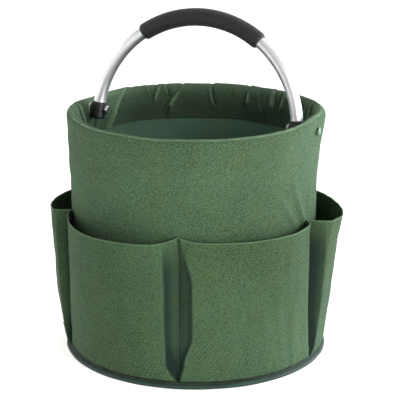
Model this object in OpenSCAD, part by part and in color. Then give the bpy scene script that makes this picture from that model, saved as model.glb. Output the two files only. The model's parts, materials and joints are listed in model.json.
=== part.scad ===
/* [Bag] */
// Outer radius of the bag at the rim, at the middle of the rolled edge
rim_r = 145; // [135:1:155]
// Outer radius of the bag at its narrowest level
waist_r = 138.7; // [130:0.1:145]
// Height of the narrowest level above the ground
waist_z = 185; // [150:1:200]
// Outer radius of the wall where it meets the base seam
foot_r = 143.4; // [138:0.1:148]
// Height of the top of the rolled rim
rim_top_z = 278; // [260:1:300]
// Thickness of the outer cloth with its folded backing
cloth_t = 1.4; // [1:0.1:2]
// Thickness of the coated inner cloth
lining_t = 1.2; // [0.8:0.1:1.6]

/* [Rim] */
// Outer radius of the rolled edge, seen in section
roll_r = 7; // [6:0.5:9]
// Height of the lower edge of the turned-in facing
facing_low_z = 235; // [225:1:245]
// Height of the stiffening hoop strip
hoop_h = 24; // [16:1:26]
// Thickness of the hoop strip
hoop_t = 2; // [1.5:0.1:2.6]
// Outer radius of the hoop strip
hoop_r = 140; // [137:0.5:141]

/* [Base] */
// Outer radius of the bound edge round the base
binding_r = 150; // [147:0.5:153]
// Height of the bound edge
binding_h = 8; // [6:0.5:10]
// Thickness of the stiff board in the base
board_t = 3; // [2:0.5:4]

/* [Pockets] */
// Height of the pocket mouths
mouth_z = 166; // [150:1:175]
// Bearing of the seam between the two front pockets
first_seam = -75; // [-90:1:-60]
// Angle taken up by each of the two front pockets
front_span = 69; // [64:0.5:72]
// Half the width of a seam groove at its widest level
groove_w = 14; // [8:1:16]
// Thickness of the pocket cloth
pocket_t = 1.4; // [1:0.1:2]

/* [Handle] */
// Radius of the arched centreline of the handle
arch_r = 120.5; // [112:0.1:122]
// Height of the centre of the arch
arch_z = 259.3; // [255:0.1:268]
// Lean of the handle towards the back as it stands at rest
handle_lean = 10; // [0:1:20]
// Height of the pivots
pivot_z = 266; // [262:0.5:268]
// Outside diameter of the handle tube
tube_d = 13.6; // [12:0.1:14]
// Wall thickness of the handle tube
tube_wall = 1.2; // [1:0.1:2]
// Outside diameter of the foam grip
grip_d = 20; // [18:0.5:24]
// Half the angle that the foam grip covers
grip_half = 35.8; // [28:0.1:40]
// Outside diameter of the end caps
cap_d = 16; // [15.6:0.1:17]
// Height of an end cap above the pivot
cap_up = 8.8; // [8:0.1:11]
// Depth of an end cap below the pivot
cap_down = 10.7; // [9:0.1:12]

/* [Pivot hardware] */
// Diameter of the pivot screw's shank
shank_d = 4; // [3.5:0.1:5]
// Diameter of the screw head
head_d = 9.6; // [8:0.2:10.4]
// Radial clearance of the end cap on the screw
pivot_clear = 0.05; // [0.02:0.01:0.1]
// Diameter of the washer between the end cap and the facing
washer_d = 14.4; // [12:0.2:16]
// Diameter of the barrel nut's outer head
nut_d = 9.4; // [8:0.2:12]

/* [Hidden] */

side_gap = 0.3; // between a turning end cap and what it faces
seat = 0.15; // gap between cloths that lie on each other
round_steps = 120; // straight sides that a large round is cut into
small_steps = 48; // and a small round
cloth_green = "#5c7a60";
facing_green = "#3c4a36";
lining_teal = "#3a5a54";
tape_teal = "#2c4a40";

// Base layers, from the ground up
base_cloth_t = 1.2;
board_z = base_cloth_t + seat;
base_lining_z = board_z + board_t + seat;
board_r = foot_r - cloth_t - lining_t - 1;

// Rim
roll_z = rim_top_z - roll_r;
roll_x = rim_r - roll_r;
facing_r = rim_r - 2 * roll_r;
lining_top_z = facing_low_z + 9;
hoop_z = roll_z - hoop_h + 1;
hoop_clip_bearing = 90;
roll_from = 10; // angle on the roll where the straight wall ends
roll_steps = 6;

// Wall: powers by which it widens above and below its waist
flare = 1.3;
taper = 2;
wall_steps = 14;

// Pockets: bearing of each seam in turn, and the depth of each pocket's mouth
rear_span = (360 - 2 * front_span) / 3;
seams = [first_seam - front_span, first_seam, first_seam + front_span,
         first_seam + front_span + rear_span, first_seam + front_span + 2 * rear_span,
         first_seam - front_span + 360];
mouth_depths = [27, 16, 31, 26, 25];
pocket_low_z = binding_h + 0.2;
pocket_foot = 3; // depth of a pocket where it meets the base seam
pocket_gap = 0.35; // between a pocket's seam and the wall
groove_foot = 2.4; // half the width of a groove at its foot
groove_mouth = 7; // and at the pockets' mouths
pocket_levels = 9;
flank_steps = 3;
front_steps = 10;

// Each pocket's depth at its first and last folded corner, as a share of its greatest depth
first_shares = [0.25, 0.5, 0.85, 0.7, 0.15];
last_shares = [0.6, 0.7, 0.15, 0.7, 0.85];
// Place of the greatest depth, as a share of the way from the first corner to the last
peaks = [0.6, 0.8, 0.15, 0.5, 0.85];
// Roundness of the front, 1 for straight sides, and how the depth grows with height, 1 for evenly
crowns = [1.6, 1.2, 1.05, 1.6, 1.05];
growths = [0.6, 0.6, 0.8, 0.6, 0.5];

// Handle and pivots
tube_r = tube_d / 2;
tube_end = 1.5; // angle that the tube runs on below the arch centre
cap_x = sqrt(pow(arch_r, 2) - pow(pivot_z - arch_z, 2));
cap_lean = asin((pivot_z - arch_z) / arch_r);
cap_face = cap_d / 2 + 0.3; // from the cap's axis to each of its flat bosses
inner_boss_r = head_d / 2 + 0.6;
outer_boss_r = head_d / 2 + 1.4;
head_x = cap_x - cap_face - side_gap;
head_h = 3;
washer_x = cap_x + cap_face + side_gap;
washer_t = facing_r - washer_x - seat;
barrel_r = 3;
barrel_x = facing_r + cloth_t / 2;
nut_h = 2;
thread_end_x = rim_r - 3; // end of the screw inside the sleeve nut

// Outer radius of the wall at a height
function wall_r(z) = z > waist_z
    ? waist_r + (rim_r - waist_r) * pow((z - waist_z) / (roll_z - waist_z), flare)
    : waist_r + (foot_r - waist_r) * pow((waist_z - z) / waist_z, taper);

// Points of an arc in a section, from one angle to another
function arc(cx, cy, r, from, to, steps) =
    [for (i = [0:steps]) let (a = from + (to - from) * i / steps) [cx + r * cos(a), cy + r * sin(a)]];

// Points up the wall, a given distance inside its outer face
function wall_line(z0, z1, inset, steps) =
    [for (i = [0:steps]) let (z = z0 + (z1 - z0) * i / steps) [wall_r(z) - inset, z]];

function reversed(list) = [for (i = [len(list) - 1:-1:0]) list[i]];

// Share of the way up a pocket
function level(z) = (z - pocket_low_z) / (mouth_z - pocket_low_z);

// Greatest depth of a pocket in front of the wall, at a height
function pocket_depth(z, i) =
    pocket_foot + (mouth_depths[i] - pocket_foot) * pow(level(z), growths[i]);

// Half the width of a seam groove at a height
function groove(z) =
    let (middle = (groove_foot + groove_mouth) / 2)
    groove_foot + (groove_mouth - groove_foot) * level(z) + (groove_w - middle) * sin(180 * level(z));

// Share of the depth at a share f of the way across a pocket's front
function front(f, i) =
    let (before = f < peaks[i], side = before ? first_shares[i] : last_shares[i],
         near = before ? f / peaks[i] : (1 - f) / (1 - peaks[i]))
    side + (1 - side) * (1 - pow(1 - near, crowns[i]));

// Places across a pocket, each with its distance along the wall and its depth
function pocket_row(z, run, i) =
    let (w = groove(z), depth = pocket_depth(z, i), flat = run - 2 * w)
    concat(
        [for (k = [0:flank_steps - 1]) let (f = k / flank_steps) [w * f, depth * first_shares[i] * f]],
        [for (k = [0:front_steps]) let (f = k / front_steps) [w + flat * f, depth * front(f, i)]],
        [for (k = [flank_steps - 1:-1:0]) let (f = k / flank_steps)
            [run - w * f, depth * last_shares[i] * f]]);

// One pocket: a folded sheet with a front face and a back face, sewn down at both seams
module pocket(i) {
    from = seams[i];
    to = seams[i + 1];
    run = (to - from) * PI / 180 * wall_r(mouth_z);
    across = 2 * flank_steps + front_steps + 1;
    sheet = pocket_levels * across;
    points = [for (skin = [0, pocket_t]) for (k = [0:pocket_levels - 1])
        let (z = pocket_low_z + (mouth_z - pocket_low_z) * k / (pocket_levels - 1))
        for (p = pocket_row(z, run, i))
            let (a = from + (to - from) * p[0] / run, r = wall_r(z) + pocket_gap + p[1] + skin)
            [r * cos(a), r * sin(a), z]];
    faces = concat(
        [for (k = [0:pocket_levels - 2]) for (j = [0:across - 2]) let (n = k * across + j)
            each [[n, n + 1, n + across + 1], [n, n + across + 1, n + across]]],
        [for (k = [0:pocket_levels - 2]) for (j = [0:across - 2]) let (n = sheet + k * across + j)
            each [[n, n + across + 1, n + 1], [n, n + across, n + across + 1]]],
        [for (j = [0:across - 2]) each [[j, j + sheet, j + sheet + 1], [j, j + sheet + 1, j + 1]]],
        [for (j = [0:across - 2]) let (n = sheet - across + j)
            each [[n, n + sheet + 1, n + sheet], [n, n + 1, n + sheet + 1]]],
        [for (k = [0:pocket_levels - 2]) let (n = k * across)
            each [[n, n + across, n + across + sheet], [n, n + across + sheet, n + sheet]]],
        [for (k = [0:pocket_levels - 2]) let (n = k * across + across - 1)
            each [[n, n + across + sheet, n + across], [n, n + sheet, n + across + sheet]]]);
    color(cloth_green) polyhedron(points, faces);
}

// A solid round bar along X at the pivot height, from one distance to another
module pivot_bar(x0, x1, r) {
    translate([x0, 0, pivot_z]) rotate([0, 90, 0]) cylinder(h = x1 - x0, r = r, $fn = small_steps);
}

// The holes that both barrel nuts pass through
module barrel_holes() {
    for (side = [0, 1]) mirror([side, 0, 0]) pivot_bar(facing_r - 5, rim_r + 5, barrel_r);
}

// A round bar bent along the handle's arch, between two angles from the +X side
module arch_bar(r, from, to) {
    translate([0, 0, arch_z]) rotate([90, 0, 0]) rotate([0, 0, from])
        rotate_extrude(angle = to - from, $fn = 180) translate([arch_r, 0]) circle(r = r, $fn = small_steps);
}

// Turns the handle's parts back about the pivots
module leaned() {
    translate([0, 0, pivot_z]) rotate([-handle_lean, 0, 0]) translate([0, 0, -pivot_z]) children();
}

module base_cloth() {
    color(cloth_green) cylinder(h = base_cloth_t, r = foot_r, $fn = round_steps);
}

module base_board() {
    color("dimgray") translate([0, 0, board_z]) cylinder(h = board_t, r = board_r, $fn = round_steps);
}

module base_lining() {
    color(lining_teal) translate([0, 0, base_lining_z]) cylinder(h = lining_t, r = board_r, $fn = round_steps);
}

// Folded tape round the base seam, with a rounded outer edge
module base_binding() {
    edge_r = binding_h / 2 - 0.5;
    outline = concat([[foot_r + seat, 0]], arc(binding_r - edge_r, edge_r, edge_r, -90, 0, 5),
                     arc(binding_r - edge_r, binding_h - edge_r, edge_r, 0, 90, 5),
                     [[foot_r + seat, binding_h]]);
    color(tape_teal) rotate_extrude($fn = round_steps) polygon(outline);
}

// Outer wall: up the outside and over to the crown of the rolled rim
module wall_cloth() {
    outside = concat(wall_line(board_z, roll_z, 0, wall_steps),
                     arc(roll_x, roll_z, roll_r, roll_from, 90, roll_steps));
    inside = concat(wall_line(board_z, roll_z, cloth_t, wall_steps),
                    arc(roll_x, roll_z, roll_r - cloth_t, roll_from, 90, roll_steps));
    color(cloth_green) difference() {
        rotate_extrude($fn = round_steps) polygon(concat(outside, reversed(inside)));
        barrel_holes();
    }
}

module wall_lining() {
    near = wall_line(base_lining_z, lining_top_z, cloth_t + seat, wall_steps);
    far = wall_line(base_lining_z, lining_top_z, cloth_t + seat + lining_t, wall_steps);
    color(lining_teal) rotate_extrude($fn = round_steps) polygon(concat(near, reversed(far)));
}

// Turned-in top of the wall: from the crown of the roll down the inside
module rim_facing() {
    outside = arc(roll_x, roll_z, roll_r, 90, 180, roll_steps);
    inside = arc(roll_x, roll_z, roll_r - cloth_t, 90, 180, roll_steps);
    outline = concat(outside, [[facing_r, facing_low_z], [facing_r + cloth_t, facing_low_z]],
                     reversed(inside));
    color(facing_green) difference() {
        rotate_extrude($fn = round_steps) polygon(outline);
        barrel_holes();
    }
}

module rim_hoop() {
    color("white") difference() {
        translate([0, 0, hoop_z]) difference() {
            cylinder(h = hoop_h, r = hoop_r, $fn = round_steps);
            translate([0, 0, -1]) cylinder(h = hoop_h + 2, r = hoop_r - hoop_t, $fn = round_steps);
        }
        barrel_holes();
    }
}

// Short sleeve that lies over the joined ends of the hoop strip
module hoop_clip() {
    clip_t = 1.2;
    clip_half = 9;
    color("gray") rotate([0, 0, hoop_clip_bearing - clip_half]) translate([0, 0, hoop_z + 1])
        rotate_extrude(angle = 2 * clip_half, $fn = round_steps)
            translate([hoop_r - hoop_t - clip_t - seat, 0]) square([clip_t, hoop_h - 2]);
}

module handle_tube() {
    color("silver") leaned() difference() {
        arch_bar(tube_r, -tube_end, 180 + tube_end);
        arch_bar(tube_r - tube_wall, -tube_end - 1, 181 + tube_end);
        for (side = [0, 1]) mirror([side, 0, 0])
            pivot_bar(cap_x - tube_d, cap_x + tube_d, shank_d / 2 + pivot_clear);
    }
}

// Foam sleeve with stepped, softened ends
module foam_grip() {
    step_in = 0.9;
    step_angle = 0.9;
    color("#1a1a1a") leaned() difference() {
        union() {
            arch_bar(grip_d / 2, 90 - grip_half + step_angle, 90 + grip_half - step_angle);
            arch_bar(grip_d / 2 - step_in, 90 - grip_half, 90 + grip_half);
        }
        arch_bar(tube_r, 90 - grip_half - 1, 91 + grip_half);
    }
}

// Moulded cap over the end of the tube, with a flat boss on each side of the pivot
module end_cap() {
    foot_round = 2.5;
    neck = 0.5; // step of the collar at the top
    outline = concat([[0, -cap_down]],
                     arc(cap_d / 2 - foot_round, foot_round - cap_down, foot_round, -90, 0, 5),
                     [[cap_d / 2, cap_up - 4 * neck], [cap_d / 2 - neck, cap_up - 3 * neck],
                      [cap_d / 2 - neck, cap_up - neck], [cap_d / 2 - 2 * neck, cap_up], [0, cap_up]]);
    color("#141414") leaned() difference() {
        union() {
            translate([cap_x, 0, pivot_z]) rotate([0, -cap_lean, 0])
                rotate_extrude($fn = 60) polygon(outline);
            pivot_bar(cap_x - cap_face, cap_x, inner_boss_r);
            pivot_bar(cap_x, cap_x + cap_face, outer_boss_r);
        }
        arch_bar(tube_r, -tube_end, 12);
        pivot_bar(cap_x - cap_d, cap_x + cap_d, shank_d / 2 + pivot_clear);
    }
}

// Pan-head screw, driven from inside the bag, with a cross recess
module pivot_screw() {
    recess = 1.4;
    slot_w = 1;
    slot_l = 5.3;
    corner = 1.6;
    outline = concat([[0, 0], [head_d / 2, 0]],
                     arc(head_d / 2 - corner, head_h - corner, corner, 0, 90, 5), [[0, head_h]]);
    color("gainsboro") difference() {
        union() {
            translate([head_x, 0, pivot_z]) rotate([0, -90, 0])
                rotate_extrude($fn = small_steps) polygon(outline);
            pivot_bar(head_x - 0.5, thread_end_x, shank_d / 2);
        }
        for (turn = [0, 90]) translate([head_x - head_h, 0, pivot_z]) rotate([turn, 0, 0])
            cube([2 * recess, slot_w, slot_l], center = true);
    }
}

module pivot_washer() {
    color("lightgray") difference() {
        pivot_bar(washer_x, washer_x + washer_t, washer_d / 2);
        pivot_bar(washer_x - 1, washer_x + washer_t + 1, shank_d / 2 + pivot_clear);
    }
}

// Sleeve nut: a domed head on the outside of the wall and a barrel through it and the hoop
module barrel_nut() {
    corner = 1.4;
    outline = concat([[0, 0], [nut_d / 2, 0]],
                     arc(nut_d / 2 - corner, nut_h - corner, corner, 0, 90, 5), [[0, nut_h]]);
    color("gainsboro") difference() {
        union() {
            translate([rim_r + seat, 0, pivot_z]) rotate([0, 90, 0])
                rotate_extrude($fn = small_steps) polygon(outline);
            pivot_bar(barrel_x, rim_r + 0.5, barrel_r);
        }
        pivot_bar(barrel_x - 1, thread_end_x, shank_d / 2);
    }
}

base_cloth();
base_board();
base_lining();
base_binding();
wall_cloth();
wall_lining();
rim_facing();
rim_hoop();
hoop_clip();
pocket(0);  // pocket_front_left
pocket(1);  // pocket_front_right
pocket(2);  // pocket_right
pocket(3);  // pocket_back
pocket(4);  // pocket_left
handle_tube();
foam_grip();
mirror([1, 0, 0]) end_cap();  // end_cap_left
end_cap();  // end_cap_right
mirror([1, 0, 0]) pivot_screw();  // pivot_screw_left
pivot_screw();  // pivot_screw_right
mirror([1, 0, 0]) pivot_washer();  // pivot_washer_left
pivot_washer();  // pivot_washer_right
mirror([1, 0, 0]) barrel_nut();  // barrel_nut_left
barrel_nut();  // barrel_nut_right
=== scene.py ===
import bmesh
import bpy
import json
import math
import random
from mathutils import Matrix, Vector, noise


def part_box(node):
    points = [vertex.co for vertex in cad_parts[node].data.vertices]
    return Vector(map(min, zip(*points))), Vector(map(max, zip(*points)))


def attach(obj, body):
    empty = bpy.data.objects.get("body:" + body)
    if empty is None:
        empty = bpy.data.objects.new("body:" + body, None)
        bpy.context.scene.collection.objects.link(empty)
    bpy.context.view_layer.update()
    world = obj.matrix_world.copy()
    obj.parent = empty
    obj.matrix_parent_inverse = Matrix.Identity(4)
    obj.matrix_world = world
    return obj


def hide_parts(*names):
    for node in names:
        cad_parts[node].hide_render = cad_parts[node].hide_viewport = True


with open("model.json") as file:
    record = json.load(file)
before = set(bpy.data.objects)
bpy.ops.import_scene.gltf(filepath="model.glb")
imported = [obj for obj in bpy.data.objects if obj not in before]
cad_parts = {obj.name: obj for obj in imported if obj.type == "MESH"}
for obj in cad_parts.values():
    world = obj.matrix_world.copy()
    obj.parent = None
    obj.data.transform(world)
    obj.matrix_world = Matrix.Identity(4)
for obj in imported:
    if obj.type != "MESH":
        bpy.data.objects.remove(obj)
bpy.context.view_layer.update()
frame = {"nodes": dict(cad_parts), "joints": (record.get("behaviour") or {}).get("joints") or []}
print("frame loaded:", len(frame["nodes"]), "CAD nodes")

mm = 0.001
fullTurn = 2 * math.pi
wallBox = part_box("wall_cloth")
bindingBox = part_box("base_binding")
pivotZ = frame["joints"][0]["pos_m"][2]

bag = {
    "rimR": wallBox[1].x, "rimTop": wallBox[1].z, "footZ": wallBox[0].z,
    "rollR": 7 * mm, "waistR": 138.7 * mm, "waistZ": 185 * mm, "footR": 143.4 * mm,
    "clothThick": 1.2 * mm, "steps": 432,
}
rollZ = bag["rimTop"] - bag["rollR"]
rollX = bag["rimR"] - bag["rollR"]


def smooth(low, high, value):  # 0 below low, 1 above high, eased between
    t = min(1.0, max(0.0, (value - low) / (high - low)))
    return t * t * (3 - 2 * t)


def bell(value, centre, width):
    return math.exp(-((value - centre) / width) ** 2)


def turnBetween(a, b):  # signed angle from b to a, within half a turn
    return (a - b + math.pi) % fullTurn - math.pi


def polar(radius, bearing, z):
    return Vector((radius * math.cos(bearing), radius * math.sin(bearing), z))


def ripple(bearing, z, size, seed):  # soft noise that closes round the bag; size is its length in metres
    k = bag["rimR"] / size
    return noise.noise(Vector((math.cos(bearing) * k, math.sin(bearing) * k, z / size + seed)))


def meshObject(name, bm, finish, body="bag"):
    data = bpy.data.meshes.new(name)
    bm.to_mesh(data)
    bm.free()
    piece = bpy.data.objects.new(name, data)
    bpy.context.scene.collection.objects.link(piece)
    for face in data.polygons:
        face.use_smooth = True
    data.materials.append(finish)
    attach(piece, body)
    return piece


def addSolidify(piece, thickness, even=True):
    wall = piece.modifiers.new("thickness", "SOLIDIFY")
    wall.thickness = thickness
    wall.offset = -1
    wall.use_even_offset = even


def spinOutline(outline, steps):  # outline is a list of radius and height
    bm = bmesh.new()
    points = [bm.verts.new((radius, 0, z)) for radius, z in outline]
    lines = [bm.edges.new(pair) for pair in zip(points, points[1:])]
    bmesh.ops.spin(bm, geom=points + lines, cent=(0, 0, 0), axis=(0, 0, 1), dvec=(0, 0, 0),
                   angle=fullTurn, steps=steps, use_merge=True)
    bmesh.ops.remove_doubles(bm, verts=bm.verts, dist=1e-6)
    return bm


def faceFrom(bm, outward):  # turns every face so that it looks the way that outward(centre) points
    bmesh.ops.recalc_face_normals(bm, faces=bm.faces)
    bm.normal_update()
    lean = sum(f.normal.dot(outward(f.calc_center_median())) for f in bm.faces)
    if lean < 0:
        bmesh.ops.reverse_faces(bm, faces=bm.faces)


def writeUv(bm, place):  # place(vertex, face bearing) gives the cloth's own flat coordinates, in metres
    layer = bm.loops.layers.uv.new("cloth")
    for face in bm.faces:
        centre = face.calc_center_median()
        around = math.atan2(centre.y, centre.x)
        for loop in face.loops:
            loop[layer].uv = place(loop.vert, around)


def roundUv(radius):  # flat coordinates of a sheet that goes all the way round
    def place(vert, around):
        here = around + turnBetween(math.atan2(vert.co.y, vert.co.x), around)
        return here * radius, vert.co.z
    return place


class Knob:  # one output socket, so that shader maths reads as maths
    def __init__(self, tree, socket):
        self.tree = tree
        self.socket = socket

    def work(self, operation, *others):
        node = self.tree.nodes.new("ShaderNodeMath")
        node.operation = operation
        for slot, value in zip(node.inputs, others):
            if isinstance(value, Knob):
                self.tree.links.new(value.socket, slot)
            else:
                slot.default_value = value
        return Knob(self.tree, node.outputs[0])

    def __add__(self, other):
        return self.work("ADD", self, other)

    def __radd__(self, other):
        return self.work("ADD", other, self)

    def __sub__(self, other):
        return self.work("SUBTRACT", self, other)

    def __rsub__(self, other):
        return self.work("SUBTRACT", other, self)

    def __mul__(self, other):
        return self.work("MULTIPLY", self, other)

    def __rmul__(self, other):
        return self.work("MULTIPLY", other, self)

    def __truediv__(self, other):
        return self.work("DIVIDE", self, other)

    def __rtruediv__(self, other):
        return self.work("DIVIDE", other, self)

    def __pow__(self, other):
        return self.work("POWER", self, other)

    def sine(self):
        return self.work("SINE", self)

    def size(self):
        return self.work("ABSOLUTE", self)

    def limited(self):
        return self.work("MINIMUM", self.work("MAXIMUM", self, 0.0), 1.0)


class Finish:  # a material with one Principled shader
    def __init__(self, name):
        self.material = bpy.data.materials.new(name)
        self.material.use_nodes = True
        self.tree = self.material.node_tree
        self.tree.nodes.clear()
        self.shader = self.tree.nodes.new("ShaderNodeBsdfPrincipled")
        end = self.tree.nodes.new("ShaderNodeOutputMaterial")
        self.tree.links.new(self.shader.outputs[0], end.inputs[0])

    def put(self, socket, value):
        if isinstance(value, Knob):
            self.tree.links.new(value.socket, socket)
        else:
            socket.default_value = value

    def node(self, kind, settings=None, values=None, out=0):
        made = self.tree.nodes.new("ShaderNode" + kind)
        for name, value in (settings or {}).items():
            setattr(made, name, value)
        for name, value in (values or {}).items():
            self.put(made.inputs[name], value)
        return Knob(self.tree, made.outputs[out])

    def mixColour(self, factor, a, b):
        return self.node("Mix", {"data_type": "RGBA"}, {0: factor, 6: a, 7: b}, out=2)

    def noise(self, vector, scale, detail=2.0, rough=0.5):
        return self.node("TexNoise", {}, {"Vector": vector, "Scale": scale, "Detail": detail,
                                          "Roughness": rough})

    def place(self):
        return self.node("TexCoord", {}, {}, out="Object")

    def flat(self, layer="cloth"):
        return self.node("UVMap", {"uv_map": layer})

    def parts(self, vector):
        made = self.tree.nodes.new("ShaderNodeSeparateXYZ")
        self.put(made.inputs[0], vector)
        return [Knob(self.tree, made.outputs[i]) for i in range(3)]

    def bump(self, height, distance, strength=1.0, under=None):
        values = {"Height": height, "Distance": distance, "Strength": strength}
        if under:
            values["Normal"] = under
        return self.node("Bump", {}, values)

    def set(self, **values):
        names = {"colour": "Base Color", "roughness": "Roughness", "metallic": "Metallic", "normal": "Normal",
                 "sheen": "Sheen Weight", "sheenRoughness": "Sheen Roughness",
                 "specular": "Specular IOR Level"}
        for name, value in values.items():
            self.put(self.shader.inputs[names[name]], value)
        return self.material


def rgb(red, green, blue):  # a colour as it looks on a screen, from 0 to 255, made linear
    def linear(c):
        c = c / 255
        return c / 12.92 if c <= 0.04045 else ((c + 0.055) / 1.055) ** 2.4
    return linear(red), linear(green), linear(blue), 1.0


def clothFinish(name, look):  # coarse Oxford weave with a flecked colour, paler folds and edges that are partly wear and partly painted highlight, and painted shade in grooves
    made = Finish(name)
    u, v, _ = made.parts(made.flat())
    pitch = look["pitch"]
    warp = (u * (math.pi / pitch)).sine().size()
    weft = (v * (math.pi / pitch)).sine().size()
    over = made.node("TexChecker", {}, {"Vector": made.flat(), "Scale": 1 / pitch}, out="Fac")
    weave = warp * over + weft * (1 - over)
    here = made.place()
    slant = (u + v) * look["fleckScale"]
    along = (u - v) * (0.55 * look["fleckScale"])
    twill = made.node("CombineXYZ", {}, {"X": slant, "Y": along, "Z": 0.0})
    fine = made.noise(here, 0.55 * look["fleckScale"], 2.0, 0.7)
    fleck = made.noise(twill, 1.0, 1.0, 0.6) * 0.5 + fine * 0.5
    slip = made.noise(here, 160.0, 2.0, 0.6) * 3.2
    cross = (u * look["cross"] + slip).sine() * (v * look["cross"] - slip).sine()
    cloud = made.noise(here, 9.0, 3.0, 0.55)
    shade = ((fleck - 0.5) * look["fleck"] + cross * look["crossDepth"] + (cloud - 0.5) * look["cloud"]
             + (weave - 0.6) * 0.16 + 0.5)
    colour = made.mixColour(shade.limited(), look["dark"], look["light"])
    hue = made.noise(here, 42.0, 2.0, 0.5) * 0.6 + made.noise(here, 11.0, 2.0, 0.5) * 0.4
    tint = made.mixColour(((hue - 0.5) * 2.6 + 0.5).limited(), (1.06, 1.0, 0.9, 1), (0.89, 1.0, 1.13, 1))
    tinting = {"data_type": "RGBA", "blend_type": "MULTIPLY"}
    colour = made.node("Mix", tinting, {0: 1.0, 6: colour, 7: tint}, out=2)
    # paler folds, edges and crown: a pale colour mixed in by a painted-highlight layer, with some rubbed wear
    worn = made.node("Attribute", {"attribute_name": "worn"}, {}, out="Fac")
    rubAndHighlight = (worn * (0.55 + fleck * 0.5)).limited()
    colour = made.mixColour(rubAndHighlight, colour, look["worn"])
    # painted shade: the shade attribute darkens the cloth towards its darkest colour in folded grooves, along
    # seams and at the pocket feet
    deep = made.node("Attribute", {"attribute_name": "shade"}, {}, out="Fac")
    colour = made.mixColour((deep * (0.92 + (fleck - 0.5) * 0.5)).limited(), colour, look["deep"])
    surface = made.bump(weave, 0.25 * mm, look["weaveBump"])
    surface = made.bump(cloud * 0.6, 1.6 * mm, 0.35, surface)
    roughness = (fleck - 0.5) * 0.2 + look["roughness"]
    return made.set(colour=colour, roughness=roughness, normal=surface, sheen=look["sheen"],
                    sheenRoughness=0.45, specular=0.16)


oxford = {"pitch": 0.8 * mm, "fleckScale": 1250, "fleck": 4.0, "cross": 1650, "crossDepth": 0.17,
          "cloud": 0.5, "weaveBump": 0.6, "roughness": 0.85, "sheen": 0.03}
clothLooks = {
    "wall": {**oxford, "dark": rgb(28, 43, 26), "light": rgb(88, 114, 83), "worn": rgb(146, 174, 144),
             "deep": rgb(14, 26, 20)},
    "pocket": {**oxford, "dark": rgb(26, 39, 23), "light": rgb(81, 106, 74), "worn": rgb(108, 134, 104),
               "deep": rgb(13, 31, 28)},
    # the facing is the wall cloth turned in: its darker colours are painted shade inside the bag
    "facing": {**oxford, "dark": rgb(29, 40, 28), "light": rgb(63, 81, 61), "worn": rgb(104, 130, 100),
               "deep": rgb(20, 28, 20), "fleckScale": 900, "fleck": 2.2, "crossDepth": 0.15},
    "lining": {**oxford, "dark": rgb(72, 97, 81), "light": rgb(84, 112, 94), "worn": rgb(90, 112, 98),
               "deep": rgb(20, 30, 24), "fleckScale": 500, "fleck": 0.4, "crossDepth": 0.0, "cloud": 0.6,
               "weaveBump": 0.15, "roughness": 0.5, "sheen": 0.0},
    "tape": {**oxford, "dark": rgb(9, 23, 16), "light": rgb(19, 39, 29), "worn": rgb(66, 96, 84),
             "deep": rgb(10, 20, 16), "pitch": 1.1 * mm, "fleckScale": 700, "fleck": 0.9, "cross": 2400,
             "crossDepth": 0.2, "cloud": 0.4, "weaveBump": 0.8, "roughness": 0.7, "sheen": 0.2},
}
finishes = {key: clothFinish(key + "Cloth", look) for key, look in clothLooks.items()}


def threadFinish():
    made = Finish("thread")
    twist = made.noise(made.place(), 1800.0, 1.0)
    colour = made.mixColour(twist, rgb(46, 66, 48), rgb(78, 102, 78))
    return made.set(colour=colour, roughness=0.7, sheen=0.3)


def tubeFinish():  # satin anodised aluminium, finely drawn along its length
    made = Finish("anodisedTube")
    u, v, _ = made.parts(made.flat("tube"))
    streaks = made.node("TexNoise", {"noise_dimensions": "3D"},
                        {"Vector": made.node("CombineXYZ", {}, {"X": u * 6.0, "Y": v * 900.0, "Z": 0.0}),
                         "Scale": 1.0, "Detail": 3.0})
    smear = made.noise(made.place(), 30.0, 4.0)
    colour = made.mixColour(smear * 0.5 + streaks * 0.5, rgb(205, 205, 208), rgb(232, 232, 234))
    roughness = (streaks - 0.5) * 0.16 + (smear - 0.5) * 0.12 + 0.44
    return made.set(colour=colour, metallic=1.0, roughness=roughness,
                    normal=made.bump(streaks, 0.03 * mm, 0.4))


def foamFinish():  # closed-cell foam: fine pits and soft scuffs
    made = Finish("foamGrip")
    here = made.place()
    cells = made.node("TexVoronoi", {"feature": "F1"}, {"Vector": here, "Scale": 1500.0})
    dents = made.noise(here, 160.0, 4.0, 0.6)
    scuff = made.noise(here, 45.0, 5.0, 0.65)
    colour = made.mixColour((scuff * 1.2 - 0.1).limited(), rgb(8, 8, 8), rgb(19, 19, 18))
    surface = made.bump(cells, 0.25 * mm, 0.5)
    surface = made.bump(dents, 0.6 * mm, 0.35, surface)
    return made.set(colour=colour, roughness=0.62 + (dents - 0.5) * 0.2, normal=surface, specular=0.4,
                    sheen=0.1)


def capFinish():  # moulded black plastic, lightly spark-textured
    made = Finish("mouldedCap")
    here = made.place()
    grain = made.noise(here, 2200.0, 2.0)
    scuff = made.noise(here, 120.0, 4.0)
    colour = made.mixColour(scuff, rgb(12, 12, 13), rgb(26, 26, 27))
    return made.set(colour=colour, roughness=(scuff - 0.5) * 0.25 + 0.42,
                    normal=made.bump(grain, 0.06 * mm, 0.5), specular=0.5)


def metalFinish(name, dark, light, roughness):
    made = Finish(name)
    here = made.place()
    cloudy = made.noise(here, 260.0, 4.0, 0.6)
    scratch = made.noise(here, 1400.0, 2.0)
    colour = made.mixColour(cloudy, dark, light)
    return made.set(colour=colour, metallic=1.0, roughness=(cloudy - 0.5) * 0.2 + roughness,
                    normal=made.bump(scratch, 0.03 * mm, 0.4))


def sheetPlasticFinish(name, dark, light):
    made = Finish(name)
    grain = made.noise(made.place(), 90.0, 5.0)
    return made.set(colour=made.mixColour(grain, dark, light), roughness=0.5 + grain * 0.1,
                    normal=made.bump(grain, 0.2 * mm, 0.3))


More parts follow.
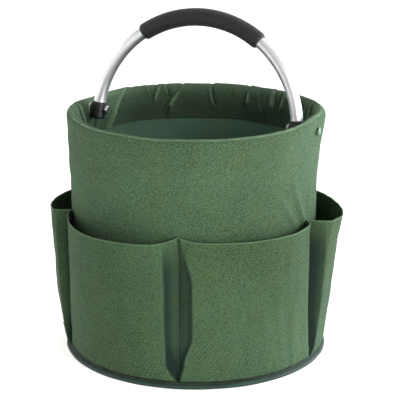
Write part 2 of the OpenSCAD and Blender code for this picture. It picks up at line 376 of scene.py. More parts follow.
finishes["thread"] = threadFinish()
finishes["tube"] = tubeFinish()
finishes["foam"] = foamFinish()
finishes["cap"] = capFinish()
finishes["nickel"] = metalFinish("nickelPlate", rgb(112, 114, 112), rgb(178, 178, 176), 0.34)
# the nuts get a green-grey metal colour
finishes["nut"] = metalFinish("lacqueredNut", rgb(70, 86, 72), rgb(126, 144, 126), 0.36)
finishes["washer"] = metalFinish("zincWasher", rgb(168, 170, 168), rgb(206, 208, 204), 0.6)
finishes["hoop"] = sheetPlasticFinish("hoopStrip", rgb(205, 205, 200), rgb(226, 226, 222))
finishes["board"] = sheetPlasticFinish("baseBoard", rgb(40, 40, 42), rgb(60, 60, 62))
print("materials made:", len(finishes))


def wallRadius(z):
    if z > bag["waistZ"]:
        share = (min(z, rollZ) - bag["waistZ"]) / (rollZ - bag["waistZ"])
        return bag["waistR"] + (bag["rimR"] - bag["waistR"]) * share ** 1.3
    return bag["waistR"] + (bag["footR"] - bag["waistR"]) * ((bag["waistZ"] - z) / bag["waistZ"]) ** 2


# creases of the wall: bearing, height, half length in degrees, slope and depth in mm
give = {"creases": ((-120, 0.243, 13, -0.02, 0.9), (-113, 0.229, 15, 0.012, 0.7), (-88, 0.255, 13, 0.004, 0.7),
                    (-92, 0.238, 20, -0.01, 0.8), (-62, 0.232, 14, 0.01, 0.6), (-64, 0.258, 16, -0.006, 0.5),
                    (-125, 0.2, 12, 0.05, 0.8), (-38, 0.24, 10, 0.05, 0.6), (-16, 0.222, 9, 0.09, 0.9),
                    (130, 0.235, 16, 0.02, 0.8), (60, 0.22, 18, -0.02, 0.8), (175, 0.225, 14, 0.04, 0.8)),
        "hollowBearing": math.radians(22), "hollow": 2.2 * mm, "softness": 1.6 * mm, "length": 70 * mm,
        "pulls": ((-8, -10, 3.2), (-15, -16, 1.6), (-4, 5, 1.6), (-75, -6, 0.9), (-75, 7, 0.7), (-143, 9, 1.0),
                  (142, 6, 1.0), (69, -6, 1.0))}


def wallGive(bearing, z):  # how far the soft wall leaves its true round
    low = smooth(0.015, 0.09, z)
    hollow = smooth(0.272, 0.225, z) * low * math.cos(bearing - give["hollowBearing"])
    soft = ripple(bearing, z * 0.8, give["length"], 3.1) + 0.4 * ripple(bearing, z * 2.4, 44 * mm, 9.7)
    pull = 0.0
    for seam, lean, height in give["pulls"]:  # soft folds that run up the wall from a pocket seam
        line = math.radians(seam + lean * (z - 0.168) / 0.05)
        upright = smooth(0.16, 0.172, z) * smooth(0.232, 0.175, z)
        pull += height * mm * bell(turnBetween(bearing, line), 0, 0.035) * upright
    crease = ripple(bearing, z * 3.6, 62 * mm, 17.0) * 0.5 * mm * smooth(0.272, 0.25, z)
    for centre, height, half, slope, depth in give["creases"]:
        off = turnBetween(bearing, math.radians(centre))
        if abs(off) < 0.7:
            place = (z - height - slope * off) / (3.2 * mm)
            crease += depth * mm * 2.6 * place * math.exp(-place * place) * bell(off, 0, math.radians(half))
    return -give["hollow"] * hollow + (give["softness"] * soft + pull + crease) * low


rim = {"lift": 3.2 * mm, "sag": 3.0 * mm, "wave": 0.9 * mm, "outer": (3.6 * mm, 5.5 * mm),
       "inner": (6.0 * mm, 7.5 * mm), "wide": 4.4 * mm, "facingR": 132.2 * mm,
       "pressR": bag["rimR"] - 2 * bag["rollR"], "facingLow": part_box("rim_facing")[0].z,
       "outerLength": 7.5 * mm, "innerLength": 11 * mm, "seed": 11, "count": 46}
rim["raised"] = ((0, rim["lift"], 0.42), (math.radians(208), 1.5 * mm, 0.3))  # bearing, height, width
rim["sagBearing"] = math.radians(115)
rim["dip"] = (math.radians(172), 1.3 * mm, 0.25)
rim["lapEnds"] = (math.radians(-77.5), math.radians(-60.5))  # where the turned-in edge overlaps
# the facing beside the pivots is painted paler, as lit cloth
rim["pale"] = ((math.radians(166), 0.36), (math.radians(10), 0.45))  # bearing and width beside the pivots
rim["crownR"] = bag["rimR"] - rim["outer"][0]
rim["innerZ"] = bag["rimTop"] - rim["inner"][1]
rim["outerZ"] = bag["rimTop"] - rim["outer"][1]


def makeFolds():  # folds of the gathered facing, by their bearings at the crown (top) and lower edge (foot)
    dice = random.Random(rim["seed"])
    folds = []
    for i in range(rim["count"]):
        top = 360 * (i + dice.uniform(-0.4, 0.4)) / rim["count"]
        if min(abs((top - side + 180) % 360 - 180) for side in (0, 180)) < 11 or 98 < top < 168:
            continue
        folds.append({"top": top, "foot": top + dice.uniform(-7, 7), "height": dice.uniform(0.8, 3.0),
                      "width": dice.uniform(1.6, 3.8), "start": dice.uniform(-3, 8),
                      "end": dice.uniform(14, 50), "notch": dice.choice((0, 0, 0.35)),
                      "side": dice.choice((-1, 1))})
    chosen = [(141, 163, 4.6, 1.2, -1, 70, 0.8, 2), (137.5, 136, 3.0, 1.3, 1, 15, 0.3, -1),
              (131, 139, 4.2, 1.5, 1, 22, 0.6, 1), (128.5, 124, 3.2, 1.3, 0, 16, 0.4, -1),
              (123, 127, 2.2, 3.0, 8, 44, 0, 1), (117.5, 133, 3.4, 1.7, -2, 34, 1.0, 1),
              (106, 101, 3.0, 1.6, 3, 30, 0.2, -1), (103, 102, 2.0, 1.4, -4, 14, 0.9, 1),
              (84, 86, 3.6, 1.6, -4, 26, 1.0, 1), (70, 66, 4.2, 2.4, 0, 24, 0.4, -1),
              (62, 64, 3.8, 2.4, 0, 26, 0.3, 1), (192, 188, 4.2, 2.0, 1, 34, 0.5, 1),
              (199, 196, 3.4, 1.8, 1, 34, 0.4, -1), (206, 203, 2.6, 2.4, 1, 30, 0.3, 1),
              (35, 30, 4.0, 2.0, 0, 34, 0.5, -1), (28, 24, 3.8, 1.8, 0, 32, 0.4, 1),
              (21, 17, 3.4, 1.8, -1, 40, 0.6, -1), (340, 344, 2.6, 2.0, 2, 40, 0.2, 1),
              (333, 334, 2.2, 2.2, 0, 30, 0.4, 1), (172, 174, 2.0, 2.0, 8, 60, 0, 1)]
    for top, foot, height, width, start, end, notch, side in chosen:
        folds.append({"top": top, "foot": foot, "height": height, "width": width, "start": start, "end": end,
                      "notch": notch, "side": side})
    for fold in folds:
        for key in ("height", "width", "start", "end"):
            fold[key] *= mm
        for key in ("top", "foot"):
            fold[key] = math.radians(fold[key])
    return folds


rimFolds = makeFolds()


def foldLine(fold, down):  # bearing of a fold; the wide flap beside the pivot bends over sooner
    share = min(1.0, max(0.0, down) / (46 * mm))
    return fold["top"] + (fold["foot"] - fold["top"]) * (share ** 0.4 if fold["side"] == 2 else share)


def rimGather(bearing, down):  # height of the folds; down is the distance along the cloth past the crown
    total = 0.0
    for fold in rimFolds:
        off = turnBetween(bearing, foldLine(fold, down)) * rim["facingR"]
        if abs(off) > 0.03:
            continue
        inside = smooth(fold["start"] - 4 * mm, fold["start"] + 7 * mm, down)
        inside *= 1 - smooth(fold["end"] - 8 * mm, fold["end"] + 6 * mm, down)
        steep, gentle = (7.0, 0.6) if fold["side"] == 2 else (0.55, 1.9)
        reach = fold["width"] * (steep if off * fold["side"] > 0 else gentle)
        ridge = math.exp(-(math.sqrt(off * off + 0.09 * mm * mm) / reach) ** 1.3)
        place = -1.6 if fold["side"] == 2 else 1.3 * fold["side"]
        valley = 0.6 * bell(off, place * fold["width"], 0.8 * fold["width"])
        total += fold["height"] * inside * (ridge - valley)
        total -= 0.55 * fold["height"] * fold["notch"] * bell(down, 0, 6 * mm) * bell(off, 0, 1.3 * mm)
    return total


def nearPivot(bearing, reach):  # 1 in line with a pivot, falling to 0
    across = min(abs(turnBetween(bearing, 0)), abs(turnBetween(bearing, math.pi))) * rim["facingR"]
    return 1 - smooth(0.7 * reach, 1.9 * reach, across)


def rimPoint(bearing, down):  # a point on the cloth; down is 0 at the crown, less outside, more inside
    gather = rimGather(bearing, down)
    if down < -rim["outerLength"]:  # outside wall
        z = rim["outerZ"] + (down + rim["outerLength"])
        return wallRadius(z) + wallGive(bearing, z), z
    soft = wallGive(bearing, rim["outerZ"])
    if down < 0:
        turn = math.pi / 2 * (1 + down / rim["outerLength"])
        top = wallRadius(rim["outerZ"]) + soft * math.cos(turn) + (gather * 0.5) * math.sin(turn)
        return (top - rim["outer"][0] * (1 - math.cos(turn)),
                rim["outerZ"] + rim["outer"][1] * math.sin(turn) + gather * 0.5 * math.sin(turn))
    clamp = nearPivot(bearing, 11 * mm)
    wide = rim["inner"][0] + rim["wide"] * clamp
    if down < rim["innerLength"]:
        turn = math.pi / 2 * down / rim["innerLength"]
        radius = rim["crownR"] - wide * math.sin(turn)
        z = rim["innerZ"] + rim["inner"][1] * math.cos(turn) + gather * 0.5 * math.cos(turn) ** 2
    else:
        z = rim["innerZ"] - (down - rim["innerLength"])
        radius = rim["crownR"] - wide
    rest = rim["facingR"] + (rim["pressR"] - rim["facingR"]) * clamp
    radius += (rest - (rim["crownR"] - wide)) * smooth(rim["innerZ"] + 3 * mm, rim["innerZ"] - 13 * mm, z)
    radius += 4.0 * mm * smooth(0.256, rim["facingLow"], z)
    loose = smooth(0.264, rim["facingLow"], z)
    inside = smooth(0, rim["innerLength"], down)
    sway = ripple(bearing, z, 30 * mm, 5.5) * 1.6 * mm + ripple(bearing, z, 80 * mm, 1.5) * 2.2 * mm
    inward = (gather * (1 + 0.5 * loose) + sway) * inside
    inward *= 1 - nearPivot(bearing, 8.5 * mm) * smooth(0.249, 0.256, z)
    limit = 2.4 * mm + 5 * mm * smooth(0.257, 0.248, z)
    return radius - min(inward, limit), z


def rimLift(bearing, down):  # the rim stands higher at the +X pivot and sags at the back and the other pivot
    raised = sum(height * bell(turnBetween(bearing, place), 0, width)
                 for place, height, width in rim["raised"])
    fromBack = abs(turnBetween(bearing, rim["sagBearing"]))
    sagged = rim["sag"] * smooth(math.radians(88), math.radians(50), fromBack)
    place, depth, width = rim["dip"]
    sagged += depth * bell(turnBetween(bearing, place), 0, width)
    uneven = ripple(bearing, 0, 48 * mm, 7.3)
    for lapEnd, way in zip(rim["lapEnds"], (1, -1)):
        uneven += 0.6 * smooth(-0.004, 0.004, turnBetween(bearing, lapEnd)) * way
    return (raised - sagged - 0.6 * mm + rim["wave"] * uneven) * smooth(-0.06, -0.004, -abs(down))


def shapeRim(bm, downOf, wearAndHighlightOf):
    bm.verts.index_update()
    worn = []
    for vert in bm.verts:
        bearing = math.atan2(vert.co.y, vert.co.x)
        down = downOf(vert)
        worn.append(wearAndHighlightOf(bearing, down))
        radius, z = rimPoint(bearing, down)
        if down > -0.06:
            z += rimLift(bearing, down)
        vert.co = polar(radius, bearing, z)
    return worn


def writeLayer(piece, name, values):  # a number at each point, read by the cloth materials
    layer = piece.data.attributes.new(name, "FLOAT", "POINT")
    for place, value in enumerate(values):
        layer.data[place].value = min(1.0, max(0.0, value))


# painted highlight along the crown where the wall turns over, with some rubbed wear
def wallWearAndHighlight(bearing, down):
    return 0.95 * smooth(-2.6 * mm, -0.6 * mm, down) * (0.7 + 0.6 * ripple(bearing, 0, 16 * mm, 3.0))


def buildWall():
    look = {"rows": 110, "rollRows": 16, "end": 1.8 * mm}
    start = rim["outerLength"]
    height = rim["outerZ"] - bag["footZ"]
    downs = [-start - height * (1 - i / look["rows"]) for i in range(look["rows"])]
    downs += [-start + (start + look["end"]) * i / look["rollRows"] for i in range(look["rollRows"] + 1)]
    bm = spinOutline([(1.0, d) for d in downs], bag["steps"])  # unrolled first: height is the distance
    faceFrom(bm, lambda p: Vector((p.x, p.y, 0)))
    writeUv(bm, roundUv(bag["rimR"]))
    worn = shapeRim(bm, lambda vert: vert.co.z, wallWearAndHighlight)
    piece = meshObject("wallCloth", bm, finishes["wall"])
    addSolidify(piece, bag["clothThick"])
    writeLayer(piece, "worn", worn)
    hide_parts("wall_cloth")


flap = next(fold for fold in rimFolds if fold["side"] == 2)


def facingWearAndHighlight(bearing, down):  # paler on fold ridges, at the crown, by the pivots and on the lit side of the flap: painted highlight and painted light, with some rubbed wear; also a little paler low down
    ridge = 0.6 * smooth(1.2 * mm, 3.6 * mm, rimGather(bearing, down))
    beside = max(bell(turnBetween(bearing, place), 0, width) for place, width in rim["pale"])
    off = turnBetween(bearing, foldLine(flap, down)) * rim["facingR"]
    lit = 0.3 * smooth(-0.3 * mm, 0.8 * mm, off) * smooth(34 * mm, 8 * mm, off)
    lit *= smooth(40 * mm, 12 * mm, down)
    top = max(0.75 * smooth(4.0 * mm, 1 * mm, down), 0.24 * smooth(18 * mm, 6 * mm, down))
    low = 0.11 * smooth(24 * mm, 38 * mm, down)
    return max(ridge, 0.7 * beside * smooth(14 * mm, 5 * mm, down), lit, top, low)


def buildFacing():
    look = {"rows": 48, "start": 0.9 * mm}
    length = rim["innerLength"] + rim["innerZ"] - rim["facingLow"] - look["start"]
    downs = [look["start"] + length * i / look["rows"] for i in range(look["rows"] + 1)]
    bm = spinOutline([(1.0, -d) for d in downs], 2 * bag["steps"])
    faceFrom(bm, lambda p: Vector((p.x, p.y, 0)))
    writeUv(bm, roundUv(bag["rimR"]))
    worn = shapeRim(bm, lambda vert: -vert.co.z, facingWearAndHighlight)
    piece = meshObject("rimFacing", bm, finishes["facing"])
    addSolidify(piece, bag["clothThick"], even=False)
    writeLayer(piece, "worn", worn)
    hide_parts("rim_facing")


def buildLining():
    look = {"rows": 44, "inset": 1.6 * mm, "thick": 1.0 * mm}
    low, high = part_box("wall_lining")[0].z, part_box("wall_lining")[1].z
    heights = [low + (high - low) * i / look["rows"] for i in range(look["rows"] + 1)]
    bm = spinOutline([(wallRadius(z) - look["inset"], z) for z in heights], 192)
    faceFrom(bm, lambda p: Vector((p.x, p.y, 0)))
    writeUv(bm, roundUv(bag["waistR"]))
    for vert in bm.verts:
        bearing = math.atan2(vert.co.y, vert.co.x)
        slack = ripple(bearing, vert.co.z, 55 * mm, 12.0) * 0.8 * mm - 0.9 * mm
        radius = vert.co.xy.length + wallGive(bearing, vert.co.z) + slack * smooth(low, low + 0.03, vert.co.z)
        vert.co = polar(radius, bearing, vert.co.z)
    piece = meshObject("wallLining", bm, finishes["lining"])
    addSolidify(piece, look["thick"])
    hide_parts("wall_lining")


def buildDisc(name, node, finish, rings, radius, z, thick, sag):
    bm = spinOutline([(radius * i / rings, z) for i in range(rings + 1)], 160)
    faceFrom(bm, lambda p: Vector((0, 0, 1)))
    writeUv(bm, lambda vert, around: (vert.co.x, vert.co.y))
    for vert in bm.verts:
        bearing = math.atan2(vert.co.y, vert.co.x)
        inner = 1 - smooth(0.6 * radius, radius, vert.co.xy.length)
        vert.co.z += sag * (0.5 + ripple(bearing, vert.co.xy.length, 60 * mm, 2.0)) * inner
    piece = meshObject(name, bm, finish)
    addSolidify(piece, thick)
    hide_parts(node)


pocketLayout = {"firstSeam": -75.0, "frontSpan": 69.0, "low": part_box("pocket_right")[0].z,
                "mouth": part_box("pocket_right")[1].z, "foot": 3 * mm, "thick": 1.1 * mm,
                "columns": 120, "rows": 84, "flank": 0.15, "gap": 0.9 * mm}
rearSpan = (360 - 2 * pocketLayout["frontSpan"]) / 3
seamA = pocketLayout["firstSeam"] - pocketLayout["frontSpan"]
seamC = pocketLayout["firstSeam"] + pocketLayout["frontSpan"]
flankLevels = (0, 0.125, 0.35, 0.7, 1)
# At each end: flank widths in mm at those levels, share of the depth, softness and rise of the mouth;
# painted shade is its amount all over the flank, its amount at the darkest line, and that line's place and
# spread
narrowEnd = {"width": (1.5, 6, 7, 7, 7), "share": 0.2, "mouthShare": 0.12, "soft": 4, "rise": 4.0,
             "shade": (0.0, 0.7, 0.0, 0.5)}
backEnd = {"width": (1.5, 8, 12, 12, 8), "share": 0.7, "mouthShare": 0.6, "soft": 6, "rise": 4.5,
           "shade": (0.4, 0.4, 0.8, 0.3)}
pocketList = [
    {"name": "pocketFrontLeft", "node": "pocket_front_left", "from": seamA, "to": pocketLayout["firstSeam"],
     "depth": 27, "growth": 0.6, "peak": 0.6, "crown": 1.7,
     "first": {"width": (1.5, 6, 7, 8, 9), "share": 0.3, "mouthShare": 0.3, "soft": 4, "rise": 4.0,
               "shade": (0.0, 1.0, 0.0, 0.5)},
     "last": {"width": (1.0, 11.5, 12.5, 12.5, 15), "share": 0.84, "mouthShare": 0.66, "soft": 9, "rise": 5.0,
              "shade": (0.5, 0.42, 0.78, 0.3)}},
    {"name": "pocketFrontRight", "node": "pocket_front_right", "from": pocketLayout["firstSeam"], "to": seamC,
     "depth": 16, "growth": 0.55, "peak": 0.8, "crown": 1.25,
     "first": {"width": (1.0, 6.5, 15.5, 15, 3), "share": 0.86, "mouthShare": 0.3, "soft": 7, "rise": 5.0,
               "shade": (0.5, 0.34, 0.85, 0.22)},
     "last": {"width": (1.5, 8, 9.5, 9.5, 9.5), "share": 0.74, "mouthShare": 0.7, "soft": 1.2, "rise": 1.8,
              "shade": (0.9, 0.1, 0.5, 0.5)}},
    {"name": "pocketRight", "node": "pocket_right", "from": seamC, "to": seamC + rearSpan,
     "depth": 31, "growth": 0.8, "peak": 0.15, "crown": 1.05,
     "first": {"width": (1.5, 8, 11, 10, 8), "share": 0.88, "mouthShare": 0.86, "soft": 4, "rise": 1.8,
               "shade": (0.0, 0.95, 0.35, 0.68)},
     "last": narrowEnd},
    {"name": "pocketBack", "node": "pocket_back", "from": seamC + rearSpan, "to": seamC + 2 * rearSpan,
     "depth": 26, "growth": 0.6, "peak": 0.5, "crown": 1.7,
     "first": backEnd,
     "last": backEnd},
    {"name": "pocketLeft", "node": "pocket_left", "from": seamC + 2 * rearSpan, "to": seamA + 360,
     "depth": 25, "growth": 0.5, "peak": 0.87, "crown": 1.05,
     "first": narrowEnd,
     "last": {"width": (1.5, 7, 8, 8, 6), "share": 0.86, "mouthShare": 0.84, "soft": 4, "rise": 4.0,
              "shade": (0.0, 1.0, 0.0, 0.5)}},
]


def flankWidth(end, v):
    v = min(1.0, max(0.0, v))
    for low, high, near, far in zip(flankLevels, flankLevels[1:], end["width"], end["width"][1:]):
        if v <= high:
            share = v / high if low == 0 else smooth(low, high, v)
            return (near + (far - near) * share) * mm
    return end["width"][-1] * mm


def flankShare(end, v):
    return end["share"] + (end["mouthShare"] - end["share"]) * smooth(0.6, 1.0, v)


def pocketDepth(pocket, run, along, v):  # share of the depth at a distance along the wall from the first seam
    first, last = pocket["first"], pocket["last"]
    wa, wb = flankWidth(first, v), flankWidth(last, v)
    a, b = flankShare(first, v), flankShare(last, v)
    if along < wa:
        return a * max(0.0, along) / wa
    if along > run - wb:
        return b * max(0.0, run - along) / wb
    f = (along - wa) / (run - wa - wb)
    before = f < pocket["peak"]
    side = a if before else b
    near = f / pocket["peak"] if before else (1 - f) / (1 - pocket["peak"])
    return side + (1 - side) * (1 - (1 - near) ** pocket["crown"])


def softDepth(pocket, run, along, v):  # the same, with its corners eased more towards the mouth
    near = pocket["first"] if along < run / 2 else pocket["last"]
    reach = (0.7 + (near["soft"] - 0.7) * smooth(0.72, 1.0, v)) * mm
    edge = min(along, run - along)
    reach = min(reach, edge)
    steps = (-1, -0.5, 0, 0.5, 1)
    return sum(pocketDepth(pocket, run, along + reach * k, v) for k in steps) / len(steps)


def acrossPlace(pocket, run, share, v):  # the two folded corners always lie on a column of the grid
    flank = pocketLayout["flank"]
    wa, wb = flankWidth(pocket["first"], v), flankWidth(pocket["last"], v)
    if share < flank:
        return wa * share / flank
    if share > 1 - flank:
        return run - wb * (1 - share) / flank
    return wa + (run - wa - wb) * (share - flank) / (1 - 2 * flank)


def buildPocket(pocket, index):
    run = math.radians(pocket["to"] - pocket["from"]) * wallRadius(pocketLayout["mouth"])
    low, mouth = pocketLayout["low"], pocketLayout["mouth"]
    depthAll = pocket["depth"] * mm
    bm = bmesh.new()
    bmesh.ops.create_grid(bm, x_segments=pocketLayout["columns"], y_segments=pocketLayout["rows"], size=0.5)
    layer = bm.loops.layers.uv.new("cloth")
    for face in bm.faces:
        for loop in face.loops:
            x, y = loop.vert.co.x + 0.5, loop.vert.co.y + 0.5
            loop[layer].uv = ((x + index) * run * 1.2, y * (mouth - low))
    bm.verts.index_update()
    worn, shade = [], []
    for vert in bm.verts:
        share, v = vert.co.x + 0.5, (vert.co.y + 0.5) ** 0.9
        along = acrossPlace(pocket, run, share, v)
        grown = pocketLayout["foot"] + (depthAll - pocketLayout["foot"]) * max(v, 0.0) ** pocket["growth"]
        depth = grown * softDepth(pocket, run, along, v)
        bearing = math.radians(pocket["from"]) + along / wallRadius(mouth)
        rise = (pocket["first"]["rise"] * math.exp(-along / (17 * mm))
                + pocket["last"]["rise"] * math.exp(-(run - along) / (17 * mm))) * mm
        z = low + (mouth - low) * v + rise * smooth(0.55, 1.0, v)
        edge = min(along, run - along)
        inside = smooth(0, 20 * mm, edge)
        soft = (ripple(bearing, z * 0.7, 46 * mm, 20.0 + index) * 2.2 * mm
                + ripple(bearing * 2.2, z * 0.6, 24 * mm, 31.0 + index) * 0.9 * mm)
        soft *= inside * smooth(0, 0.2, v)
        crease = 1.5 * mm * bell(z, 20 * mm + 3 * mm * math.sin(9 * share + 2 * index), 2.2 * mm)
        crease *= inside * smooth(-0.25, 0.35, ripple(bearing, 0, 60 * mm, 50.0 + index))
        gathers = math.sin(along / (3.4 * mm) + 3 * ripple(bearing, 0, 20 * mm, 8.0))
        pucker = 0.7 * mm * gathers * bell(v, 0.035, 0.05)
        hem = 0.35 * mm * smooth(mouth - 2.0 * mm, mouth - 1.2 * mm, z - rise)
        radius = wallRadius(z) + wallGive(bearing, z) * (1 - 0.4 * inside) + pocketLayout["gap"]
        vert.co = polar(radius + depth + soft + crease + pucker + hem, bearing, z)
        # painted highlight on the folded corners and the mouth hem, with some rubbed wear
        corner = max(bell(share, pocketLayout["flank"], 0.008) * flankShare(pocket["first"], v),
                     bell(share, 1 - pocketLayout["flank"], 0.008) * flankShare(pocket["last"], v))
        worn.append(max(0.42 * corner * smooth(0.03, 0.2, v) * (1 - 0.6 * smooth(0.7, 1.0, v)),
                        0.7 * smooth(mouth - 1.5 * mm, mouth - 0.3 * mm, z - rise)))
        # painted shade: darkest in the folded flanks, along the seams and at the pocket foot
        end = pocket["first"] if along < run / 2 else pocket["last"]
        place = edge / flankWidth(end, v)
        base, strength, centre, spread = end["shade"]
        inner = smooth(1.12, 0.9, place)
        dark = base * inner + strength * bell(place, centre, spread) + 0.6 * inner * smooth(0.3, 0.06, v)
        shade.append(dark * smooth(1.03, 0.78, v))
    faceFrom(bm, lambda p: Vector((p.x, p.y, 0)))
    piece = meshObject(pocket["name"], bm, finishes["pocket"])
    writeLayer(piece, "worn", worn)
    writeLayer(piece, "shade", shade)
    addSolidify(piece, pocketLayout["thick"])
    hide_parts(pocket["node"])
    run * 1.25


def buildBinding():  # tape folded over the flat seam that stands out all round the base
    look = {"inner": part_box("base_cloth")[1].x - 0.6 * mm, "outer": bindingBox[1].x, "high": bindingBox[1].z,
            "steps": 320, "join": math.radians(7), "joinHalf": 0.05}
    low, high, outer, inner = 0.0, look["high"], look["outer"], look["inner"]
    edge = 2.6 * mm
    outline = [(inner, high - 1.2 * mm), (inner + 1.6 * mm, high), (inner + 3.0 * mm, high - 0.7 * mm)]
    for centreZ, angles in ((high - 2.2 * mm - edge, range(90, -1, -15)), (low + edge, range(0, -91, -15))):
        outline += [(outer - edge + edge * math.cos(turn), centreZ + edge * math.sin(turn))
                    for turn in map(math.radians, angles)]
    outline += [(inner, low)]
    bm = spinOutline(outline + [outline[0]], look["steps"])
    faceFrom(bm, lambda p: (Vector((p.x, p.y, 0)).normalized() * (p.xy.length - inner - 2 * mm)
                            + Vector((0, 0, p.z - 3.5 * mm))))
    bm.normal_update()
    layer = bm.loops.layers.uv.new("cloth")
    for face in bm.faces:
        centre = face.calc_center_median()
        around = math.atan2(centre.y, centre.x)
        for loop in face.loops:
            here = around + turnBetween(math.atan2(loop.vert.co.y, loop.vert.co.x), around)
            loop[layer].uv = (here * outer, loop.vert.co.z - loop.vert.co.xy.length)
    for vert in bm.verts:
        bearing = math.atan2(vert.co.y, vert.co.x)
        out = smooth(inner, outer, vert.co.xy.length)
        lap = smooth(look["joinHalf"], look["joinHalf"] - 0.006, abs(turnBetween(bearing, look["join"])))
        wave = ripple(bearing, 0, 30 * mm, 40.0) * 0.7 * mm
        vert.co.z += (wave * 0.8 + lap * 0.7 * mm) * smooth(1 * mm, 5 * mm, vert.co.z)
        vert.co = polar(vert.co.xy.length + (wave + lap * 0.6 * mm) * out - 0.5 * mm * out, bearing, vert.co.z)
    piece = meshObject("baseBinding", bm, finishes["tape"])
    # painted highlight along the tape's rounded outer edge
    writeLayer(piece, "worn", [0.55 * bell(v.co.xy.length, outer, 1.6 * mm) * smooth(1 * mm, 3 * mm, v.co.z)
                               for v in piece.data.vertices])
    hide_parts("base_binding")


def buildStitches(name, path, look, body="bag"):  # path(share) gives a point and its outward direction
    bm = bmesh.new()
    count = look["count"]
    for i in range(count):
        point, outward = path((i + 0.5) / count)
        ahead, _ = path((i + 0.55) / count)
        along = (ahead - point).normalized()
        across = along.cross(outward).normalized()
        up = along.cross(across)  # right-handed, so that the faces look outward
        turn = Matrix((along * look["half"], across * look["wide"], up * look["wide"])).transposed().to_4x4()
        turn.translation = point + outward * look["stand"]
        bmesh.ops.create_uvsphere(bm, u_segments=6, v_segments=5, radius=1,
                                  matrix=turn @ Matrix.Rotation(math.pi / 2, 4, "Y"))
    piece = meshObject(name, bm, finishes["thread"], body)


def stitchLook(count, half=1.25 * mm, wide=0.32 * mm, stand=0.12 * mm):
    return {"count": count, "half": half, "wide": wide, "stand": stand}


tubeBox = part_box("handle_tube")
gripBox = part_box("foam_grip")
tubeR = 6.8 * mm
gripR = 10 * mm
armTop = Vector((0, tubeBox[1].y - tubeR, tubeBox[1].z - tubeR - pivotZ))  # from the pivots to the arch's top
lean = math.atan2(armTop.y, armTop.z)
archR = tubeBox[1].x - tubeR
archZ = pivotZ + armTop.length - archR
gripHalf = math.asin((gripBox[1].x - 0.6 * gripR) / archR)
print("handle: radius", round(archR, 4), "centre", round(archZ, 4), "lean", round(math.degrees(lean), 2))


def leanBack(point):  # turns a point of the upright handle back about the pivots
    return Matrix.Rotation(-lean, 3, "X") @ (point - Vector((0, 0, pivotZ))) + Vector((0, 0, pivotZ))


def archPoint(angle):  # on the handle's centreline; 0 is the +X side and a half turn the -X side
    return Vector((archR * math.cos(angle), 0, archZ + archR * math.sin(angle)))


def shapeArch(rings, sides, uvName):
    bm = bmesh.new()
    bmesh.ops.create_grid(bm, x_segments=len(rings) - 1, y_segments=sides, size=0.5)
    layer = bm.loops.layers.uv.new(uvName)
    last = len(rings) - 1
    for face in bm.faces:
        for loop in face.loops:
            angle, radius = rings[round((loop.vert.co.x + 0.5) * last)]
            loop[layer].uv = (angle * archR, (loop.vert.co.y + 0.5) * fullTurn * radius)
    for vert in bm.verts:
        angle, radius = rings[round((vert.co.x + 0.5) * last)]
        turn = (vert.co.y + 0.5) * fullTurn
        centre = archPoint(angle)
        outward = (centre - Vector((0, 0, archZ))).normalized()
        sideways = Vector((0, radius * math.sin(turn), 0))
        vert.co = leanBack(centre + outward * radius * math.cos(turn) + sideways)
    bmesh.ops.remove_doubles(bm, verts=bm.verts, dist=1e-7)
    bmesh.ops.recalc_face_normals(bm, faces=bm.faces)
    return bm


def buildTube():
    look = {"over": math.radians(1.5), "steps": 150, "sides": 40, "lip": 0.35 * mm,
            "lipLow": math.radians(6.7), "lipHigh": math.radians(8.0), "wall": 1.2 * mm}
    rings = []
    for i in range(look["steps"] + 1):
        angle = -look["over"] + (math.pi + 2 * look["over"]) * i / look["steps"]
        low = min(angle, math.pi - angle)
        lip = smooth(look["lipLow"] - 0.006, look["lipLow"], low)
        lip *= smooth(look["lipHigh"], look["lipHigh"] - 0.01, low)
        rings.append((angle, tubeR + look["lip"] * lip))
    piece = meshObject("handleTube", shapeArch(rings, look["sides"], "tube"), finishes["tube"], "handle")
    addSolidify(piece, look["wall"])
    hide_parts("handle_tube")


def buildGrip():
    look = {"steps": 96, "sides": 56, "round": 4.2 * mm, "swell": 0.35 * mm, "bore": tubeR + 0.15 * mm}
    half = gripHalf + 0.004
    rings = [(math.pi / 2 - half, look["bore"])]
    for i in range(look["steps"] + 1):
        turn = -half + 2 * half * (0.5 - 0.5 * math.cos(math.pi * i / look["steps"]))
        inset = (half - abs(turn)) * archR
        fall = max(0.0, 1 - inset / look["round"])
        edge = (gripR - look["bore"]) * (1 - math.sqrt(1 - fall ** 2)) * 0.75
        pinch = look["swell"] * (turn / half) ** 2
        rings.append((math.pi / 2 + turn, gripR - edge - pinch))
    rings.append((math.pi / 2 + half, look["bore"]))
    bm = shapeArch(rings, look["sides"], "tube")
    for vert in bm.verts:
        vert.co += vert.co.normalized() * noise.noise(vert.co * 60) * 0.18 * mm
    piece = meshObject("foamGrip", bm, finishes["foam"], "handle")
    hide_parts("foam_grip")


buildWall()
buildFacing()
buildLining()
print("wall, facing and lining made")
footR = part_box("base_cloth")[1].x
buildDisc("baseCloth", "base_cloth", finishes["wall"], 24, footR, 1.2 * mm, 1.0 * mm, 0.0)
buildDisc("baseLining", "base_lining", finishes["lining"], 30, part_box("base_lining")[1].x,
          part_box("base_lining")[1].z, 0.9 * mm, 0.5 * mm)
buildBinding()
print("base made")
for number, pocket in enumerate(pocketList):
    buildPocket(pocket, number)
print("pockets made:", len(pocketList))


def bindingPath(share):
    bearing = fullTurn * share
    return polar(bindingBox[1].x - 3.4 * mm, bearing, bindingBox[1].z - 1.9 * mm), Vector((0, 0, 1))


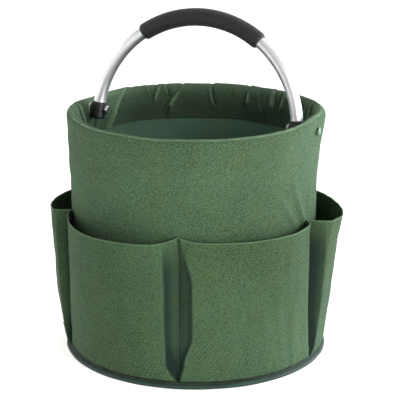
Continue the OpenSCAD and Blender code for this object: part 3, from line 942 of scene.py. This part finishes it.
buildStitches("bindingStitches", bindingPath, stitchLook(250, stand=0.25 * mm))
for number, pocket in enumerate(pocketList):
    seam = math.radians(pocket["from"])

    def seamPath(share, seam=seam):
        z = pocketLayout["low"] + 4 * mm + (pocketLayout["mouth"] - pocketLayout["low"] - 6 * mm) * share
        return polar(wallRadius(z) + wallGive(seam, z) + 1.2 * mm, seam, z), polar(1, seam, 0)

    buildStitches("seamStitches" + str(number + 1), seamPath, stitchLook(44))
print("stitches made")
buildTube()
buildGrip()
print("handle made")
for node, finish in {"end_cap_left": "cap", "end_cap_right": "cap", "pivot_screw_left": "nickel",
                     "pivot_screw_right": "nickel", "pivot_washer_left": "washer",
                     "pivot_washer_right": "washer",
                     "barrel_nut_left": "nut", "barrel_nut_right": "nut", "rim_hoop": "hoop",
                     "hoop_clip": "washer", "base_board": "board"}.items():
    frame["nodes"][node].data.materials.clear()
    frame["nodes"][node].data.materials.append(finishes[finish])


studio = {"azimuth": math.radians(22.5), "distance": 1.879, "height": 0.738, "pitch": math.radians(16.8),
          "lens": 155.07, "shift": 0.011}
scene = bpy.context.scene
scene.view_settings.view_transform = "Standard"


def addFloor():
    look = {"size": 8.0, "colour": (0.55, 0.55, 0.54, 1), "glow": (1, 1, 0.975, 1), "glowStrength": 0.72}
    bm = bmesh.new()
    bmesh.ops.create_grid(bm, x_segments=1, y_segments=1, size=look["size"])
    data = bpy.data.meshes.new("floor")
    bm.to_mesh(data)
    bm.free()
    floor = bpy.data.objects.new("floor", data)
    scene.collection.objects.link(floor)
    made = Finish("paleFloor")
    data.materials.append(made.set(colour=look["colour"], roughness=0.9, specular=0.1))
    made.shader.inputs["Emission Color"].default_value = look["glow"]
    made.shader.inputs["Emission Strength"].default_value = look["glowStrength"]


def addLight(name, bearing, elevation, distance, size, power, colour):
    lamp = bpy.data.lights.new(name, "AREA")
    lamp.shape = "RECTANGLE"
    lamp.size, lamp.size_y = size
    lamp.energy = power
    lamp.color = colour
    holder = bpy.data.objects.new(name, lamp)
    scene.collection.objects.link(holder)
    aim = Vector((0, 0, 0.18))
    flat = math.cos(elevation)
    side = studio["azimuth"] - math.pi / 2 + bearing
    back = Vector((math.cos(side) * flat, math.sin(side) * flat, math.sin(elevation)))
    holder.location = aim + back * distance
    holder.rotation_mode = "QUATERNION"
    holder.rotation_quaternion = back.to_track_quat("Z", "Y")


addFloor()
# each lamp: bearing and height in degrees, distance and size in metres, power in watts, colour
lamps = {"keyLight": (40, 14, 2.6, (1.2, 1.2), 62, (1, 0.995, 0.97)),
         "sideLight": (116, 14, 2.2, (0.8, 1.4), 60, (0.9, 1, 1.07)),
         "backLight": (-118, 10, 2.2, (0.6, 1.4), 14, (0.96, 1, 1)),
         "fillLight": (-62, 12, 2.6, (1.0, 1.4), 10, (0.97, 0.99, 1)),
         "topLight": (150, 72, 2.6, (2.0, 2.0), 22, (1, 1, 1))}
for name, (bearing, elevation, *rest) in lamps.items():
    addLight(name, math.radians(bearing), math.radians(elevation), *rest)
world = bpy.data.worlds.new("studioWorld")
world.use_nodes = True
world.node_tree.nodes["Background"].inputs[0].default_value = (1, 1, 0.985, 1)
world.node_tree.nodes["Background"].inputs[1].default_value = 0.5
scene.world = world

camera = bpy.data.cameras.new("camera")
camera.lens = studio["lens"]
camera.sensor_width = 36
camera.shift_x = studio["shift"]
cameraHolder = bpy.data.objects.new("camera", camera)
scene.collection.objects.link(cameraHolder)
cameraHolder.location = (studio["distance"] * math.sin(studio["azimuth"]),
                         -studio["distance"] * math.cos(studio["azimuth"]), studio["height"])
cameraHolder.rotation_euler = (math.pi / 2 - studio["pitch"], 0, studio["azimuth"])
scene.camera = cameraHolder
